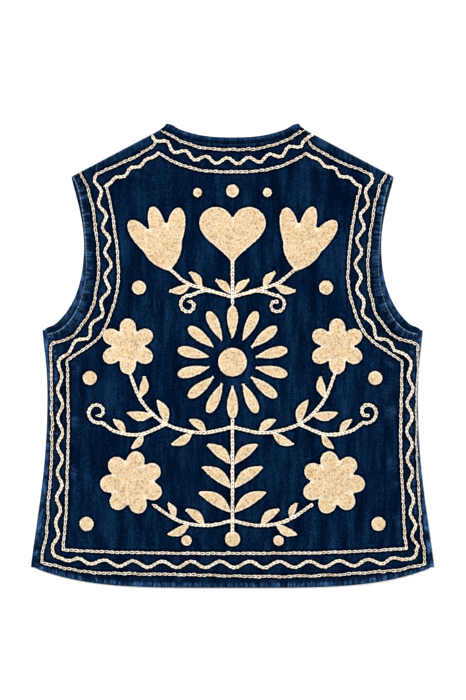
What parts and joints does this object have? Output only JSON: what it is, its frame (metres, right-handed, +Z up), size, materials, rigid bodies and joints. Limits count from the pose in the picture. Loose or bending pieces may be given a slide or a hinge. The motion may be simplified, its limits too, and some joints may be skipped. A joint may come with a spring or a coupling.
{
  "type": "embroidered folk vest, laid flat",
  "caption": "Sleeveless dark indigo cotton vest laid flat with its back up, with a cream chain-stitch border and an embroidered folk motif on the back.",
  "frame": {"origin": "under the middle of the vest's bounding box, on the surface it lies on", "axes": "+Y towards the neck, +X to the right of someone looking down on the back, +Z up out of the back"},
  "size_m": [0.5088, 0.5854, 0.0056],
  "materials": {
    "indigo_cloth": "washed dark indigo cotton with a short nap, faint lengthwise streaks and pale worn seam edges",
    "binding_cloth": "the same indigo cotton, folded and a little more faded",
    "cream_yarn": "matt cream cotton embroidery yarn in chain and loop stitches"
  },
  "bodies": {
    "root": {"back": "indigo_cloth", "front_left": "indigo_cloth", "front_right": "indigo_cloth", "neck_binding_back": "binding_cloth", "neck_binding_front_left": "binding_cloth", "neck_binding_front_right": "binding_cloth"}
  },
  "joints": []
}
